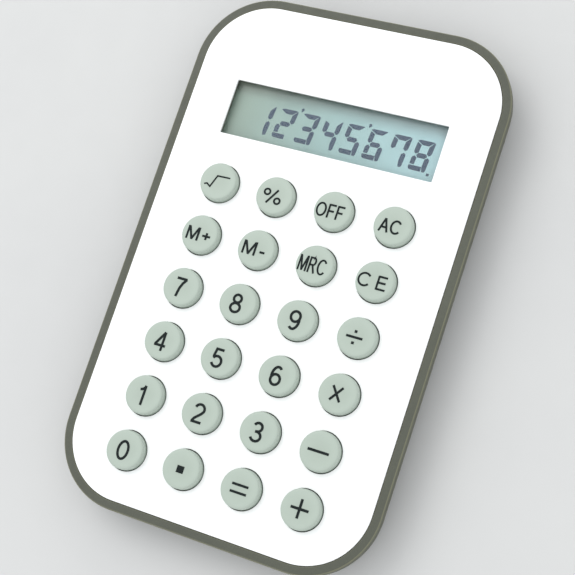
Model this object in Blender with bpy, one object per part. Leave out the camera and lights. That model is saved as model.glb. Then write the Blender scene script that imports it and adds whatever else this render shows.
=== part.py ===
"""Slim pocket calculator with round keys, built as an assembly of separate pieces.

Dimensions are in millimetres and the meshes are made in metres. The origin lies on the
table under the middle of the case: +X runs to the right of the keys, +Y towards the
display and +Z up out of the face. The calculator lies on its four rubber feet.
"""

import math

import bmesh
import bpy

MM = 0.001

# Case outline, seen from above
CASE_WIDTH = 64.4
CASE_LENGTH = 104.1
CASE_CORNER = 14.3
CORNER_STEPS = 8

# Heights above the table
BACK_HEIGHT = 0.8
PARTING_HEIGHT = 7.1
RIM_TOP = 8.35
FACE_TOP = 8.5
KEY_TOP = 10.2
FLAT_GAP = 0.05

# Rear cover: a dish whose sides curve in to a flat back
WALL = 1.5
BACK_CURVE_IN = 7.5
BACK_CURVE_STEPS = 6
INNER_CURVE_STEPS = 4

# Front housing: a panel with a raised rim around the face plate
PANEL_TOP = 7.97
RIM_EDGE = 0.3
RIM_SOFT = 0.09
PLATE_INSET = 1.8
RIM_INSET = 1.65
LIP_INSET = 2.1
LIP_THICKNESS = 0.8
LIP_DEPTH = 1.2
JOIN = 0.4

# Keys: six rows of four, from the top left
COLUMN_PITCH = 12.0
ROW_PITCH = 10.76
TOP_ROW_Y = 13.2
KEY_ROWS = (
    ("square_root", "percent", "off", "all_clear"),
    ("memory_plus", "memory_minus", "memory_recall", "clear_entry"),
    ("7", "8", "9", "divide"),
    ("4", "5", "6", "multiply"),
    ("1", "2", "3", "minus"),
    ("0", "point", "equals", "plus"),
)
KEY_RADIUS = 3.72
KEY_HOLE_RADIUS = 3.92
KEY_EDGE = 0.4
KEY_TRAVEL = 0.9
FLANGE_RADIUS = 4.6
FLANGE_THICKNESS = 0.6
FLANGE_CLEARANCE = 0.1
ROUND_SIDES = 16

# Display: window in the face, a clear lens under it, then the liquid crystal cell
WINDOW_WIDTH = 43.8
WINDOW_LENGTH = 11.2
WINDOW_Y = 28.8
HOUSING_WINDOW_MARGIN = 0.2
LENS_WIDTH = 49.0
LENS_Y = (21.6, 36.3)
LENS_HEIGHT = (6.74, PARTING_HEIGHT - FLAT_GAP)
GLASS_WIDTH = 46.4
FRONT_GLASS_Y = (20.0, 35.0)
REAR_GLASS_Y = (22.4, 35.0)
FILM_WIDTH = 45.6
FILM_Y = (22.7, 34.8)
FRONT_FILM_HEIGHT = (6.54, 6.69)
FRONT_GLASS_HEIGHT = (5.95, 6.5)
REAR_GLASS_HEIGHT = (5.36, 5.91)
REAR_FILM_HEIGHT = (5.14, 5.32)
SUPPORT_WIDTH = 48.0
SUPPORT_Y = (19.3, 35.2)
STRIP_WIDTH = 44.4
STRIP_Y = (20.4, 21.9)
STRIP_CLEARANCE = 0.3

# Circuit board, the parts under it and the rubber mat on top
BOARD_BOTTOM = 3.4
BOARD_TOP = 4.2
BOARD_WIDTH = 54.0
BOARD_LENGTH = 93.0
BOARD_CORNER = 9.0
BOARD_HOLE_RADIUS = 2.3
MAT_BOTTOM = BOARD_TOP + FLAT_GAP
MAT_THICKNESS = 0.5
MAT_WIDTH = 48.0
MAT_Y = (-46.0, 18.9)
MAT_CORNER = 5.0
DOME_SIDES = 10
DOME_BASE_RADIUS = 3.6
DOME_TOP_RADIUS = 2.7
DOME_SKIN = 0.5
CHIP_Y = 6.0
CHIP_PROFILE = ((5.4, 0.0), (5.0, 0.35), (3.4, 0.7))
COMPONENTS = (
    ("left_capacitor", -13.0, 8.0, 2.0, 3.2, 0.7),
    ("right_capacitor", 13.0, 8.0, 2.0, 3.2, 0.7),
    ("timing_resistor", 13.0, 1.0, 3.2, 1.6, 0.5),
)

# Button cell, its two contacts and the door that slides off over the top end
CELL_Y = 41.2
CELL_RADIUS = 5.8
CELL_CAP_RADIUS = 4.9
CELL_BOTTOM = 2.0
CELL_HEIGHT = 3.05
CELL_CAP_HEIGHT = 0.5
CELL_SIDES = 24
CELL_BORE_RADIUS = 6.2
CELL_WALL_RADIUS = 7.0
BOARD_NOTCH_RADIUS = 6.5
CONTACT_THICKNESS = 0.2
CONTACT_WIDTH = 3.0
CONTACT_REACH = 11.0
CONTACT_STAND_OFF = 1.6
LEAF_GAP = 0.15
DOOR_HALF_WIDTH = 8.0
DOOR_START_Y = 34.2
DOOR_TOP = 1.9
DOOR_GAP = 0.15
DOOR_END_GAP = 0.3
TONGUE_OUT = 1.0
TONGUE_HEIGHT = (1.3, 1.7)
GRIP_GROOVES = 5
GRIP_PITCH = 1.3
GRIP_START_Y = 37.2
GRIP_WIDTH = 9.0
GRIP_DEPTH = 0.25
GRIP_LENGTH = 0.6

# Screws go in from the back; the lower pair passes between the keys
LOWER_SCREW_ROW = 4.5
UPPER_SCREW_PLACE = (20.0, 41.0)
SCREW_HEAD_RADIUS = 1.7
SCREW_HEAD_HEIGHT = (0.95, 2.05)
SCREW_RADIUS = 0.95
SCREW_TIP = 6.0
SCREW_CLEARANCE = 0.3
SCREW_BORE_TOP = 6.3
COUNTERBORE_RADIUS = 2.0
COUNTERBORE_TOP = 2.1
REAR_BOSS_RADIUS = 2.7
REAR_BOSS_TOP = 3.2
FRONT_BOSS_RADIUS = 1.9
FRONT_BOSS_BOTTOM = 3.3
BOSS_SIDES = 16
POST_RADIUS = 1.2
POST_PLACES = ((-22.0, 22.0), (22.0, 22.0), (-22.0, -22.0), (22.0, -22.0))

# Rubber feet in shallow round recesses
FOOT_RADIUS = 3.0
FOOT_EDGE = 0.3
FOOT_TOP = 1.2
FOOT_RECESS_RADIUS = 3.2
FOOT_RECESS_TOP = 1.25
FOOT_X = 19.5
FOOT_ROWS = (("front", -39.5), ("back", 32.5))

BELOW = 0.3  # height of a cutter's start, under the back of the case
BEYOND = 60.0  # length at which a cutter has left the case


def clear_scene():
    for item in list(bpy.data.objects):
        bpy.data.objects.remove(item, do_unlink=True)


def plastic(name, color, roughness, metallic=0.0, alpha=1.0):
    material = bpy.data.materials.new(name)
    material.use_nodes = True
    shader = material.node_tree.nodes["Principled BSDF"]
    shader.inputs["Base Color"].default_value = (*color, 1.0)
    shader.inputs["Roughness"].default_value = roughness
    shader.inputs["Metallic"].default_value = metallic
    shader.inputs["Alpha"].default_value = alpha
    material.diffuse_color = (*color, alpha)
    return material


def make_materials():
    return {
        "case": plastic("case", (0.072, 0.081, 0.056), 0.46),
        "face": plastic("face", (0.90, 0.905, 0.895), 0.4),
        "key": plastic("key", (0.39, 0.45, 0.39), 0.4),
        "lens": plastic("lens", (0.92, 0.95, 0.95), 0.04, alpha=0.25),
        "film": plastic("film", (0.38, 0.46, 0.40), 0.25, alpha=0.6),
        "glass": plastic("glass", (0.80, 0.88, 0.84), 0.03, alpha=0.35),
        "reflector": plastic("reflector", (0.45, 0.52, 0.46), 0.4),
        "support": plastic("support", (0.78, 0.78, 0.76), 0.6),
        "elastomer": plastic("elastomer", (0.20, 0.20, 0.22), 0.8),
        "board": plastic("board", (0.03, 0.16, 0.06), 0.4),
        "epoxy": plastic("epoxy", (0.012, 0.012, 0.012), 0.3),
        "ceramic": plastic("ceramic", (0.42, 0.30, 0.17), 0.55),
        "mat": plastic("mat", (0.30, 0.31, 0.31), 0.75),
        "steel": plastic("steel", (0.62, 0.62, 0.60), 0.3, metallic=1.0),
        "spring_steel": plastic("spring_steel", (0.70, 0.66, 0.56), 0.35, metallic=1.0),
        "screw": plastic("screw", (0.30, 0.30, 0.29), 0.4, metallic=1.0),
        "foot": plastic("foot", (0.025, 0.025, 0.025), 0.85),
    }


def circle(radius, sides, centre=(0.0, 0.0)):
    turn = 2 * math.pi / sides
    return [
        (centre[0] + radius * math.cos(turn * i), centre[1] + radius * math.sin(turn * i))
        for i in range(sides)
    ]


def rounded_rectangle(width, length, radius, centre_y=0.0):
    """Corner arcs in turn, anticlockwise from the right-hand end of the top right one."""
    points = []
    reach_x = width / 2 - radius
    reach_y = length / 2 - radius
    for corner, (side_x, side_y) in enumerate(((1, 1), (-1, 1), (-1, -1), (1, -1))):
        for step in range(CORNER_STEPS + 1):
            angle = math.pi / 2 * (corner + step / CORNER_STEPS)
            x = side_x * reach_x + radius * math.cos(angle)
            y = centre_y + side_y * reach_y + radius * math.sin(angle)
            points.append((x, y))
    return points


def rectangle(width, y_span, centre_x=0.0):
    low, high = y_span
    left, right = centre_x - width / 2, centre_x + width / 2
    return [(left, low), (right, low), (right, high), (left, high)]


def case_outline(inset):
    return rounded_rectangle(
        CASE_WIDTH - 2 * inset, CASE_LENGTH - 2 * inset, CASE_CORNER - inset
    )


def add_loft(bm, rings):
    """A closed solid through rings of (outline, height), with a cap on each end."""
    loops = [[bm.verts.new((x, y, z)) for x, y in outline] for outline, z in rings]
    for lower, upper in zip(loops, loops[1:]):
        for i in range(len(lower)):
            bm.faces.new((lower[i - 1], lower[i], upper[i], upper[i - 1]))
    bm.faces.new(loops[0])
    bm.faces.new(loops[-1])


def add_plate(bm, outline, holes, heights):
    """A flat plate with any number of holes through it."""
    low, high = heights
    edges = []
    for ring in [outline, *holes]:
        verts = [bm.verts.new((x, y, low)) for x, y in ring]
        edges += [bm.edges.new((verts[i - 1], verts[i])) for i in range(len(verts))]
    filled = bmesh.ops.triangle_fill(bm, use_beauty=True, edges=edges)
    faces = [item for item in filled["geom"] if isinstance(item, bmesh.types.BMFace)]
    raised = bmesh.ops.extrude_face_region(bm, geom=faces)
    top = [item for item in raised["geom"] if isinstance(item, bmesh.types.BMVert)]
    bmesh.ops.translate(bm, verts=top, vec=(0.0, 0.0, high - low))


def add_block(bm, width, y_span, heights, centre_x=0.0):
    outline = rectangle(width, y_span, centre_x)
    add_loft(bm, [(outline, heights[0]), (outline, heights[1])])


def add_turned(bm, profile, sides, centre=(0.0, 0.0)):
    """A solid turned about a vertical axis, through (radius, height) pairs."""
    add_loft(bm, [(circle(radius, sides, centre), z) for radius, z in profile])


def add_extrusion(bm, section, y_span):
    """A prism along Y with an (x, z) cross-section."""
    ends = [[bm.verts.new((x, y, z)) for x, z in section] for y in y_span]
    for i in range(len(section)):
        bm.faces.new((ends[0][i - 1], ends[0][i], ends[1][i], ends[1][i - 1]))
    bm.faces.new(ends[0])
    bm.faces.new(ends[1])


def make_object(name, bm, material, place=(0.0, 0.0, 0.0), smooth_angle=None):
    bmesh.ops.recalc_face_normals(bm, faces=bm.faces)
    bmesh.ops.scale(bm, vec=(MM, MM, MM), verts=bm.verts)
    mesh = bpy.data.meshes.new(name)
    bm.to_mesh(mesh)
    bm.free()
    if smooth_angle is not None:
        mesh.shade_smooth()
        mesh.set_sharp_from_angle(angle=math.radians(smooth_angle))
    item = bpy.data.objects.new(name, mesh)
    item.location = [MM * value for value in place]
    bpy.context.collection.objects.link(item)
    if material:
        mesh.materials.append(material)
    return item


def combine(item, name, bm, operation):
    """Joins, cuts or trims an object with a shape that isn't a part of its own."""
    tool = make_object(name, bm, None)
    tool.hide_render = True
    tool.display_type = "WIRE"
    modifier = item.modifiers.new(name, "BOOLEAN")
    modifier.operation = operation
    modifier.object = tool


def screw_places():
    lower_y = TOP_ROW_Y - LOWER_SCREW_ROW * ROW_PITCH
    upper_x, upper_y = UPPER_SCREW_PLACE
    return (
        ("lower_left", -COLUMN_PITCH, lower_y),
        ("lower_right", COLUMN_PITCH, lower_y),
        ("upper_left", -upper_x, upper_y),
        ("upper_right", upper_x, upper_y),
    )


def foot_places():
    for row, y in FOOT_ROWS:
        for side, x in (("left", -FOOT_X), ("right", FOOT_X)):
            yield f"{row}_{side}", x, y


def key_places():
    for row, names in enumerate(KEY_ROWS):
        for column, name in enumerate(names):
            yield name, (column - 1.5) * COLUMN_PITCH, TOP_ROW_Y - row * ROW_PITCH


def back_curve(inset, depth, start, steps):
    """Rings of the dish, from its flat floor out and up to the parting line."""
    rings = []
    for step in range(steps + 1):
        angle = math.pi / 2 * step / steps
        ring = case_outline(start + inset * (1 - math.sin(angle)))
        rings.append((ring, PARTING_HEIGHT - FLAT_GAP - depth * math.cos(angle)))
    return rings


def outer_dish():
    depth = PARTING_HEIGHT - FLAT_GAP - BACK_HEIGHT
    return back_curve(BACK_CURVE_IN, depth, 0.0, BACK_CURVE_STEPS)


def inner_dish():
    depth = PARTING_HEIGHT - FLAT_GAP - BACK_HEIGHT - WALL
    return back_curve(BACK_CURVE_IN - WALL, depth, WALL, INNER_CURVE_STEPS)


def make_rear_cover(material):
    bm = bmesh.new()
    add_loft(bm, outer_dish() + inner_dish()[::-1])
    cover = make_object("rear_cover", bm, material, smooth_angle=30)

    bm = bmesh.new()
    base = BACK_HEIGHT + WALL / 2
    for _, x, y in screw_places():
        add_turned(bm, [(REAR_BOSS_RADIUS, base), (REAR_BOSS_RADIUS, REAR_BOSS_TOP)], BOSS_SIDES, (x, y))
    for x, y in POST_PLACES:
        top = BOARD_BOTTOM - FLAT_GAP
        add_turned(bm, [(POST_RADIUS, base), (POST_RADIUS, top)], BOSS_SIDES, (x, y))
    wall = [(CELL_WALL_RADIUS, base), (CELL_WALL_RADIUS, REAR_BOSS_TOP)]
    add_turned(bm, wall, CELL_SIDES, (0.0, CELL_Y))
    combine(cover, "rear_cover_bosses", bm, "UNION")

    bm = bmesh.new()
    bore = SCREW_RADIUS + SCREW_CLEARANCE
    profile = [
        (COUNTERBORE_RADIUS, BELOW),
        (COUNTERBORE_RADIUS, COUNTERBORE_TOP),
        (bore, COUNTERBORE_TOP),
        (bore, REAR_BOSS_TOP + JOIN),
    ]
    for _, x, y in screw_places():
        add_turned(bm, profile, BOSS_SIDES, (x, y))
    for _, x, y in foot_places():
        recess = [(FOOT_RECESS_RADIUS, BELOW), (FOOT_RECESS_RADIUS, FOOT_RECESS_TOP)]
        add_turned(bm, recess, CELL_SIDES, (x, y))
    combine(cover, "screw_bores_and_foot_recesses", bm, "DIFFERENCE")

    bm = bmesh.new()
    add_turned(bm, [(CELL_BORE_RADIUS, BELOW), (CELL_BORE_RADIUS, BOARD_TOP)], CELL_SIDES, (0.0, CELL_Y))
    combine(cover, "cell_bore", bm, "DIFFERENCE")

    bm = bmesh.new()
    channel_y = (DOOR_START_Y - DOOR_END_GAP, BEYOND)
    half = DOOR_HALF_WIDTH + DOOR_GAP
    tongue = half + TONGUE_OUT
    low, high = TONGUE_HEIGHT[0] - DOOR_GAP, TONGUE_HEIGHT[1] + DOOR_GAP
    add_extrusion(bm, door_section(half, tongue, low, high, DOOR_TOP + DOOR_GAP), channel_y)
    combine(cover, "door_channel", bm, "DIFFERENCE")
    return cover


def door_section(half, tongue, low, high, top):
    """Cross-section of the door: a flat strip with a tongue along each side."""
    right = [(half, BELOW), (half, low), (tongue, low), (tongue, high), (half, high), (half, top)]
    return right + [(-x, z) for x, z in reversed(right)]


def make_battery_door(material):
    bm = bmesh.new()
    tongue = DOOR_HALF_WIDTH + TONGUE_OUT
    section = door_section(DOOR_HALF_WIDTH, tongue, *TONGUE_HEIGHT, DOOR_TOP)
    add_extrusion(bm, section, (DOOR_START_Y, BEYOND))
    door = make_object("battery_door", bm, material, smooth_angle=30)

    bm = bmesh.new()
    add_loft(bm, outer_dish())
    combine(door, "case_envelope", bm, "INTERSECT")

    bm = bmesh.new()
    for groove in range(GRIP_GROOVES):
        start = GRIP_START_Y + groove * GRIP_PITCH
        add_block(bm, GRIP_WIDTH, (start, start + GRIP_LENGTH), (BELOW, BACK_HEIGHT + GRIP_DEPTH))
    combine(door, "grip_grooves", bm, "DIFFERENCE")
    return door


def make_front_housing(material):
    bm = bmesh.new()
    add_loft(bm, [
        (case_outline(0.0), PARTING_HEIGHT),
        (case_outline(0.0), RIM_TOP - RIM_EDGE),
        (case_outline(RIM_SOFT), RIM_TOP - RIM_SOFT),
        (case_outline(RIM_EDGE), RIM_TOP),
        (case_outline(RIM_INSET), RIM_TOP),
        (case_outline(RIM_INSET), PANEL_TOP),
    ])
    housing = make_object("front_housing", bm, material, smooth_angle=40)

    bm = bmesh.new()
    lip_heights = (PARTING_HEIGHT - LIP_DEPTH, PARTING_HEIGHT + JOIN)
    add_plate(bm, case_outline(LIP_INSET), [case_outline(LIP_INSET + LIP_THICKNESS)], lip_heights)
    for _, x, y in screw_places():
        profile = [(FRONT_BOSS_RADIUS, FRONT_BOSS_BOTTOM), (FRONT_BOSS_RADIUS, lip_heights[1])]
        add_turned(bm, profile, BOSS_SIDES, (x, y))
    combine(housing, "housing_lip_and_bosses", bm, "UNION")

    bm = bmesh.new()
    through = (PARTING_HEIGHT - JOIN, RIM_TOP + JOIN)
    for _, x, y in key_places():
        add_turned(bm, [(KEY_HOLE_RADIUS, z) for z in through], ROUND_SIDES, (x, y))
    window_y = window_span(HOUSING_WINDOW_MARGIN)
    add_block(bm, WINDOW_WIDTH + 2 * HOUSING_WINDOW_MARGIN, window_y, through)
    bore = SCREW_RADIUS + SCREW_CLEARANCE
    for _, x, y in screw_places():
        profile = [(bore, FRONT_BOSS_BOTTOM - JOIN), (bore, SCREW_BORE_TOP)]
        add_turned(bm, profile, BOSS_SIDES, (x, y))
    combine(housing, "key_holes_window_and_screw_bores", bm, "DIFFERENCE")
    return housing


def window_span(margin=0.0):
    half = WINDOW_LENGTH / 2 + margin
    return WINDOW_Y - half, WINDOW_Y + half


def make_face_plate(material):
    bm = bmesh.new()
    holes = [circle(KEY_HOLE_RADIUS, ROUND_SIDES, (x, y)) for _, x, y in key_places()]
    window = rectangle(WINDOW_WIDTH, window_span())
    heights = (PANEL_TOP + FLAT_GAP, FACE_TOP)
    add_plate(bm, case_outline(PLATE_INSET), [window, *holes], heights)
    return make_object("face_plate", bm, material)


def make_keys(material):
    flange_top = PARTING_HEIGHT - FLANGE_CLEARANCE
    profile = [
        (FLANGE_RADIUS, flange_top - FLANGE_THICKNESS),
        (FLANGE_RADIUS, flange_top),
        (KEY_RADIUS, flange_top),
        (KEY_RADIUS, KEY_TOP - KEY_EDGE),
        (KEY_RADIUS - KEY_EDGE, KEY_TOP),
    ]
    for name, x, y in key_places():
        bm = bmesh.new()
        add_turned(bm, profile, ROUND_SIDES)
        make_object(f"key_{name}", bm, material, (x, y, 0.0), smooth_angle=30)


def make_keypad_mat(material):
    """A rubber sheet with a hollow dome under each key, drawn at its pressed height."""
    sheet_top = MAT_BOTTOM + MAT_THICKNESS
    flange_bottom = PARTING_HEIGHT - FLANGE_CLEARANCE - FLANGE_THICKNESS
    dome_top = flange_bottom - KEY_TRAVEL - FLANGE_CLEARANCE
    middle_y = sum(MAT_Y) / 2
    outline = rounded_rectangle(MAT_WIDTH, MAT_Y[1] - MAT_Y[0], MAT_CORNER, middle_y)
    screws = [circle(BOARD_HOLE_RADIUS, BOSS_SIDES, (x, y)) for _, x, y in screw_places()[:2]]
    bm = bmesh.new()
    add_plate(bm, outline, screws, (MAT_BOTTOM, sheet_top))
    mat = make_object("keypad_mat", bm, material, smooth_angle=35)

    bm = bmesh.new()
    buried = sheet_top - MAT_THICKNESS / 2
    for _, x, y in key_places():
        dome = [(DOME_BASE_RADIUS, buried), (DOME_BASE_RADIUS, sheet_top), (DOME_TOP_RADIUS, dome_top)]
        add_turned(bm, dome, DOME_SIDES, (x, y))
    combine(mat, "mat_domes", bm, "UNION")

    bm = bmesh.new()
    for _, x, y in key_places():
        low, high = MAT_BOTTOM - JOIN, dome_top - DOME_SKIN
        hollow = [(DOME_BASE_RADIUS - DOME_SKIN, low), (DOME_TOP_RADIUS - DOME_SKIN, high)]
        add_turned(bm, hollow, DOME_SIDES, (x, y))
    combine(mat, "dome_hollows", bm, "DIFFERENCE")
    return mat


def make_display(materials):
    layers = (
        ("display_lens", LENS_WIDTH, LENS_Y, LENS_HEIGHT, "lens"),
        ("lcd_front_polariser", FILM_WIDTH, FILM_Y, FRONT_FILM_HEIGHT, "film"),
        ("lcd_front_glass", GLASS_WIDTH, FRONT_GLASS_Y, FRONT_GLASS_HEIGHT, "glass"),
        ("lcd_rear_glass", GLASS_WIDTH, REAR_GLASS_Y, REAR_GLASS_HEIGHT, "glass"),
        ("lcd_reflector", FILM_WIDTH, FILM_Y, REAR_FILM_HEIGHT, "reflector"),
    )
    for name, width, y_span, heights, finish in layers:
        bm = bmesh.new()
        add_block(bm, width, y_span, heights)
        make_object(name, bm, materials[finish])

    bm = bmesh.new()
    low, high = STRIP_Y
    slot = rectangle(STRIP_WIDTH + 2 * STRIP_CLEARANCE, (low - STRIP_CLEARANCE, high + STRIP_CLEARANCE))
    support_heights = (BOARD_TOP + FLAT_GAP, REAR_FILM_HEIGHT[0] - FLAT_GAP)
    add_plate(bm, rectangle(SUPPORT_WIDTH, SUPPORT_Y), [slot], support_heights)
    make_object("lcd_support", bm, materials["support"])

    bm = bmesh.new()
    strip_heights = (BOARD_TOP + FLAT_GAP, FRONT_GLASS_HEIGHT[0] - FLAT_GAP)
    add_block(bm, STRIP_WIDTH, STRIP_Y, strip_heights)
    make_object("lcd_contact_strip", bm, materials["elastomer"])


def make_circuit_board(materials):
    bm = bmesh.new()
    outline = rounded_rectangle(BOARD_WIDTH, BOARD_LENGTH, BOARD_CORNER)
    holes = [circle(BOARD_HOLE_RADIUS, BOSS_SIDES, (x, y)) for _, x, y in screw_places()]
    add_plate(bm, outline, holes, (BOARD_BOTTOM, BOARD_TOP))
    board = make_object("circuit_board", bm, materials["board"])

    bm = bmesh.new()
    through = (BOARD_BOTTOM - JOIN, BOARD_TOP + JOIN)
    add_turned(bm, [(BOARD_NOTCH_RADIUS, z) for z in through], CELL_SIDES, (0.0, CELL_Y))
    combine(board, "cell_notch", bm, "DIFFERENCE")

    underside = BOARD_BOTTOM - FLAT_GAP
    bm = bmesh.new()
    add_turned(bm, [(radius, underside - depth) for radius, depth in CHIP_PROFILE], BOSS_SIDES, (0.0, CHIP_Y))
    make_object("calculator_chip", bm, materials["epoxy"], smooth_angle=60)
    for name, x, y, width, length, height in COMPONENTS:
        bm = bmesh.new()
        add_block(bm, width, (y - length / 2, y + length / 2), (underside - height, underside), x)
        make_object(name, bm, materials["ceramic"])


def make_button_cell(material):
    top = CELL_BOTTOM + CELL_HEIGHT
    bm = bmesh.new()
    add_turned(bm, [
        (CELL_RADIUS, CELL_BOTTOM),
        (CELL_RADIUS, top - CELL_CAP_HEIGHT),
        (CELL_CAP_RADIUS, top - CELL_CAP_HEIGHT / 2),
        (CELL_CAP_RADIUS, top),
    ], CELL_SIDES, (0.0, CELL_Y))
    make_object("button_cell", bm, material, smooth_angle=30)


def make_contacts(material):
    """Bent strips: one reaches over the cell's cap, the other touches its side."""
    foot = BOARD_TOP + FLAT_GAP
    thick = CONTACT_THICKNESS
    over = CELL_BOTTOM + CELL_HEIGHT + FLAT_GAP
    rise = CELL_RADIUS + CONTACT_STAND_OFF
    span = (CELL_Y - CONTACT_WIDTH / 2, CELL_Y + CONTACT_WIDTH / 2)
    bm = bmesh.new()
    add_extrusion(bm, [
        (-CONTACT_REACH, foot),
        (-rise, foot),
        (-rise + thick, foot + thick),
        (-rise + thick, over),
        (0.0, over),
        (0.0, over + thick),
        (-rise, over + thick),
        (-rise, foot + thick),
        (-CONTACT_REACH, foot + thick),
    ], span)
    make_object("battery_minus_contact", bm, material)

    side = CELL_RADIUS + LEAF_GAP
    leaf_bottom = REAR_BOSS_TOP + FLANGE_CLEARANCE
    bm = bmesh.new()
    add_extrusion(bm, [
        (side, leaf_bottom),
        (side + thick, leaf_bottom),
        (side + thick, foot),
        (CONTACT_REACH, foot),
        (CONTACT_REACH, foot + thick),
        (side, foot + thick),
    ], span)
    make_object("battery_plus_contact", bm, material)


def make_screws(material):
    profile = [
        (SCREW_HEAD_RADIUS, SCREW_HEAD_HEIGHT[0]),
        (SCREW_HEAD_RADIUS, SCREW_HEAD_HEIGHT[1]),
        (SCREW_RADIUS, SCREW_HEAD_HEIGHT[1]),
        (SCREW_RADIUS, SCREW_TIP - SCREW_RADIUS),
        (SCREW_RADIUS / 2, SCREW_TIP),
    ]
    for name, x, y in screw_places():
        bm = bmesh.new()
        add_turned(bm, profile, BOSS_SIDES)
        make_object(f"case_screw_{name}", bm, material, (x, y, 0.0), smooth_angle=30)


def make_feet(material):
    profile = [
        (FOOT_RADIUS - FOOT_EDGE, 0.0),
        (FOOT_RADIUS, FOOT_EDGE),
        (FOOT_RADIUS, FOOT_TOP),
    ]
    for name, x, y in foot_places():
        bm = bmesh.new()
        add_turned(bm, profile, CELL_SIDES)
        make_object(f"rubber_foot_{name}", bm, material, (x, y, 0.0), smooth_angle=30)


def main():
    clear_scene()
    materials = make_materials()
    make_rear_cover(materials["case"])
    make_battery_door(materials["case"])
    make_front_housing(materials["case"])
    make_face_plate(materials["face"])
    make_keys(materials["key"])
    make_keypad_mat(materials["mat"])
    make_display(materials)
    make_circuit_board(materials)
    make_button_cell(materials["steel"])
    make_contacts(materials["spring_steel"])
    make_screws(materials["screw"])
    make_feet(materials["foot"])


main()
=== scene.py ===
"""Looks of the pocket calculator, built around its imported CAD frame.

Meshes are drawn in millimetres, in the frame's own axes, and written in metres. Heights and
places come from the CAD nodes' boxes, so nothing here moves or resizes the design.
"""

import math

import bmesh
import bpy
from mathutils import Matrix, Vector


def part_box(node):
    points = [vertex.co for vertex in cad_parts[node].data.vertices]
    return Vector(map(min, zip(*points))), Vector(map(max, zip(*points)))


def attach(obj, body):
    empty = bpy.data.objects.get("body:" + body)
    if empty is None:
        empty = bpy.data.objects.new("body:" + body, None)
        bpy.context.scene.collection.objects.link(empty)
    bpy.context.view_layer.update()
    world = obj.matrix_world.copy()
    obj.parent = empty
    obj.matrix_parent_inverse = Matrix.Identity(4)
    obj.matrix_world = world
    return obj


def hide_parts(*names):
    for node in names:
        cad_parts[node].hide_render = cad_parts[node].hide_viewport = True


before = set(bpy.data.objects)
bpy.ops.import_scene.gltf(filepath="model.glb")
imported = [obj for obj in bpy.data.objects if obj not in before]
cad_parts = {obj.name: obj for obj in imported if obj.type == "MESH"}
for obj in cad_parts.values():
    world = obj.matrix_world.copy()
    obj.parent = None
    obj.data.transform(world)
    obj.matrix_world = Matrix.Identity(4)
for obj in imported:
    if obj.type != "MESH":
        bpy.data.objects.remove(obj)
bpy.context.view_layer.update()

MM = 0.001

# Camera: fitted to the key grid, the window and the outline of the face
CAMERA_PLACE = (88.81, -38.84, 242.07)
CAMERA_AIM = (1.78, -2.77, 8.5)
CAMERA_ROLL = 50.33
CAMERA_LENS = 84.8

# Sizes of the design that a node's box can't give, in millimetres, and of the edges added here
CASE_CORNER = 14.3
FLAT_GAP = 0.05
WINDOW_Y = 28.8
WINDOW_SIZE = (43.8, 11.2)
WINDOW_CORNER = 0.25
WINDOW_MARGIN = 0.2

# Face plate and front housing
PLATE_BORDER_EDGE = 0.14
PLATE_HOLE_EDGE = 0.05
RIM_INSET = 1.65
RIM_EDGE = 0.3
RIM_SOFT = 0.12
LIP_INSET = 2.1
LIP_THICKNESS = 0.8
LIP_DEPTH = 1.2
PARTING_EDGE = 0.12
FRONT_BOSS_RADIUS = 1.9
FRONT_BOSS_EDGE = 0.2
SCREW_BORE_RADIUS = 1.25
SCREW_BORE_TOP = 6.3

# Rear cover and battery door
WALL = 1.5
BACK_CURVE_IN = 7.5
COUNTERBORE_RADIUS = 2.0
COUNTERBORE_TOP = 2.1
COUNTERBORE_EDGE = 0.15
REAR_BOSS_RADIUS = 2.7
REAR_BOSS_TOP = 3.2
REAR_BOSS_EDGE = 0.1
FOOT_RECESS_RADIUS = 3.2
FOOT_RECESS_TOP = 1.25
FOOT_RECESS_EDGE = 0.12
POST_PLACE = 22.0
POST_RADIUS = 1.2
POST_FILLET = 0.3
POST_TOP = 3.35
CELL_WALL_RADIUS = 7.0
CELL_WALL_TOP = 3.2
CELL_WALL_ROOT = 0.7  # the wall starts this deep in the floor of the dish
CELL_BORE_RADIUS = 6.2
CELL_BORE_TOP = 4.4
TONGUE_OUT = 1.0
TONGUE_HEIGHT = (1.3, 1.7)
DOOR_GAP = 0.15
DOOR_END_GAP = 0.3
GRIP_GROOVES = 5
GRIP_PITCH = 1.3
GRIP_START_Y = 37.2
GRIP_SIZE = (9.0, 0.6)
GRIP_DEPTH = 0.25
BELOW = 0.3  # height at which a cutter of the back starts, under the case
BEYOND = 60.0  # length at which a cutter has left the case
CUT_ROOM = 0.3  # the cutter of a groove or recess starts this far outside the surface

# Keys
KEY_RADIUS = 3.72
KEY_HOLE_RADIUS = 3.92
KEY_EDGE = 0.4
KEY_DISH = 0.04
DISH_RINGS = 8
FLANGE_THICKNESS = 0.6
FLANGE_EDGE = 0.1
PRINT_ROOM = 0.03  # the caps stop this far short of the CAD keys, so that the print fits inside

# Screws, feet and button cell
SCREW_HEAD_TOP = 2.05
SCREW_HEAD_RADIUS = 1.7
SCREW_ROOT_RADIUS = 0.72
SCREW_RADIUS = 0.95
THREAD_PITCH = 0.5
SCREW_POINT = 1.0
CROSS_SIZE = (2.1, 0.56)
CROSS_DEPTH = 0.7
FOOT_EDGE = 0.45
FOOT_TOP_EDGE = 0.08
CELL_EDGE = 0.35
CELL_SHOULDER_EDGE = 0.3
CELL_CAP_RADIUS = 4.9
CELL_CAP_HEIGHT = 0.45
CELL_CAP_EDGE = 0.2

# Stage
FLOOR_REACH = 700.0
LIGHT_PLACE = (-700.0, 500.0, 1100.0)
LIGHT_SIZE = 900.0
LIGHT_POWER = 4.5
SKY_STRENGTH = 1.19


# ---- frame sizes


def low(node):
    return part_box(node)[0] / MM


def high(node):
    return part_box(node)[1] / MM


def middle(node):
    return (low(node) + high(node)) / 2


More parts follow.
